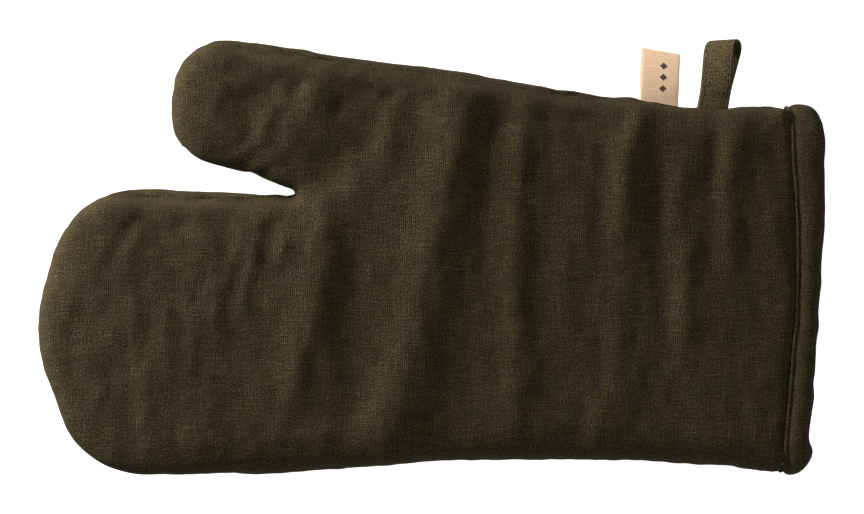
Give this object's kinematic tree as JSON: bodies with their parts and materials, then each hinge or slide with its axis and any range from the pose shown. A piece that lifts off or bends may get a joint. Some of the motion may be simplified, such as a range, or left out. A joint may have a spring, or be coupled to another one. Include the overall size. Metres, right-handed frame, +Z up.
{
  "type": "oven mitt",
  "caption": "Padded cloth oven mitt with a thumb pocket, a bound cuff opening, a hanging loop and a plain folded label at the side seam, lying flat.",
  "frame": {"origin": "centre of the underside of the whole mitt's bounding box, on the surface it lies on", "axes": "+X from the fingertips to the cuff, +Y from the little finger's side to the thumb's side, +Z up"},
  "size_m": [0.3216, 0.1778, 0.032],
  "materials": {
    "shell_cloth": "plain-woven washed linen and cotton, dark olive brown",
    "wadding": "needled cotton wadding, undyed",
    "lining_cloth": "thin plain-woven cotton, dark brown",
    "binding_tape": "bias-cut linen and cotton tape, folded",
    "loop_tape": "folded linen and cotton tape, edge stitched",
    "label_ribbon": "satin ribbon, unprinted beige",
    "thread": "spun polyester sewing thread, dark brown"
  },
  "bodies": {
    "mitt": {"shell_front": "shell_cloth", "shell_back": "shell_cloth", "batting_front": "wadding", "batting_back": "wadding", "lining_front": "lining_cloth", "lining_back": "lining_cloth", "cuff_binding": "binding_tape", "shell_seam_thread": "thread", "lining_seam_thread": "thread", "binding_thread": "thread", "binding_join_thread": "thread"},
    "loop": {"hanging_loop": "loop_tape", "loop_edge_thread": "thread"},
    "label_tab": {"label": "label_ribbon"}
  },
  "joints": [
    {"name": "loop_swing", "type": "hinge", "parent": "mitt", "child": "loop", "pos_m": [0.11547, 0.06391, 0.016], "axis": [1, -0.0096, 0], "range_deg": [-80, 80], "stiffness_Nm_per_rad": 0.0014},
    {"name": "label_swing", "type": "hinge", "parent": "mitt", "child": "label_tab", "pos_m": [0.09203, 0.06356, 0.016], "axis": [0.9955, -0.0944, 0], "range_deg": [-80, 80], "stiffness_Nm_per_rad": 0.0004}
  ]
}
